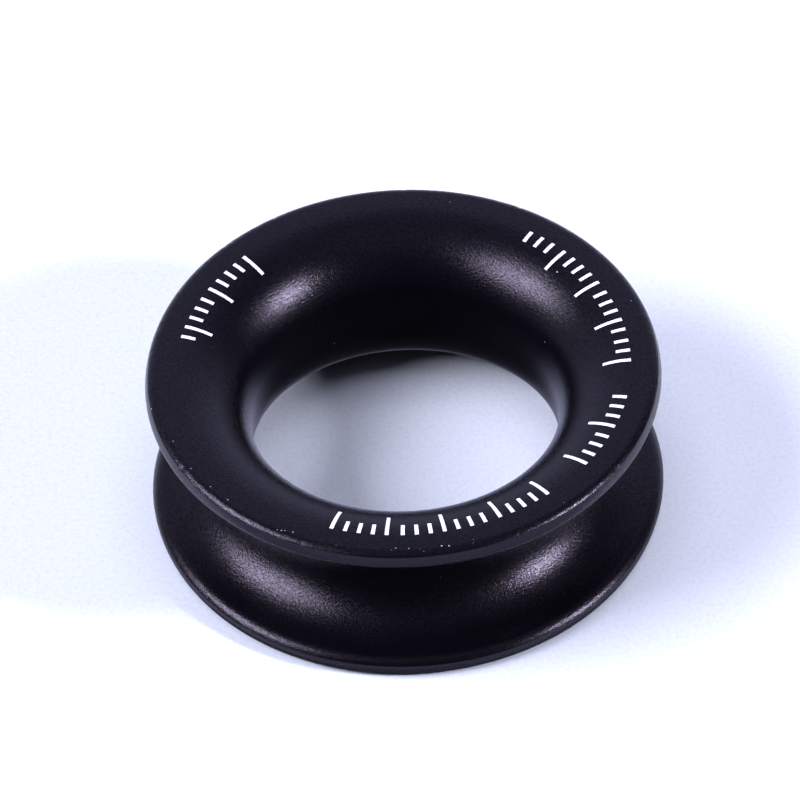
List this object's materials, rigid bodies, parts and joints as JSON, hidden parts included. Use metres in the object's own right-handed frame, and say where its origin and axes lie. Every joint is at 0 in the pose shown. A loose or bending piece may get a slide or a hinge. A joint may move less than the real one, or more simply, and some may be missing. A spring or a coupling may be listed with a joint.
{
  "type": "loop thimble",
  "caption": "One-piece turned ring that a rope runs through, with large rounded bore mouths, thin rims and a deep round groove outside for the strop that holds it.",
  "frame": {"origin": "on the bore's axis, in the plane of the lower face that the ring lies on", "axes": "+Z along the bore's axis, up through the ring; the ring is round about Z, so X and Y are free"},
  "size_m": [0.0336, 0.0336, 0.0115],
  "materials": {
    "anodised_ring": "black hard anodised over fine turning marks, satin"
  },
  "bodies": {
    "root": {"thimble_ring": "anodised_ring"}
  },
  "joints": []
}
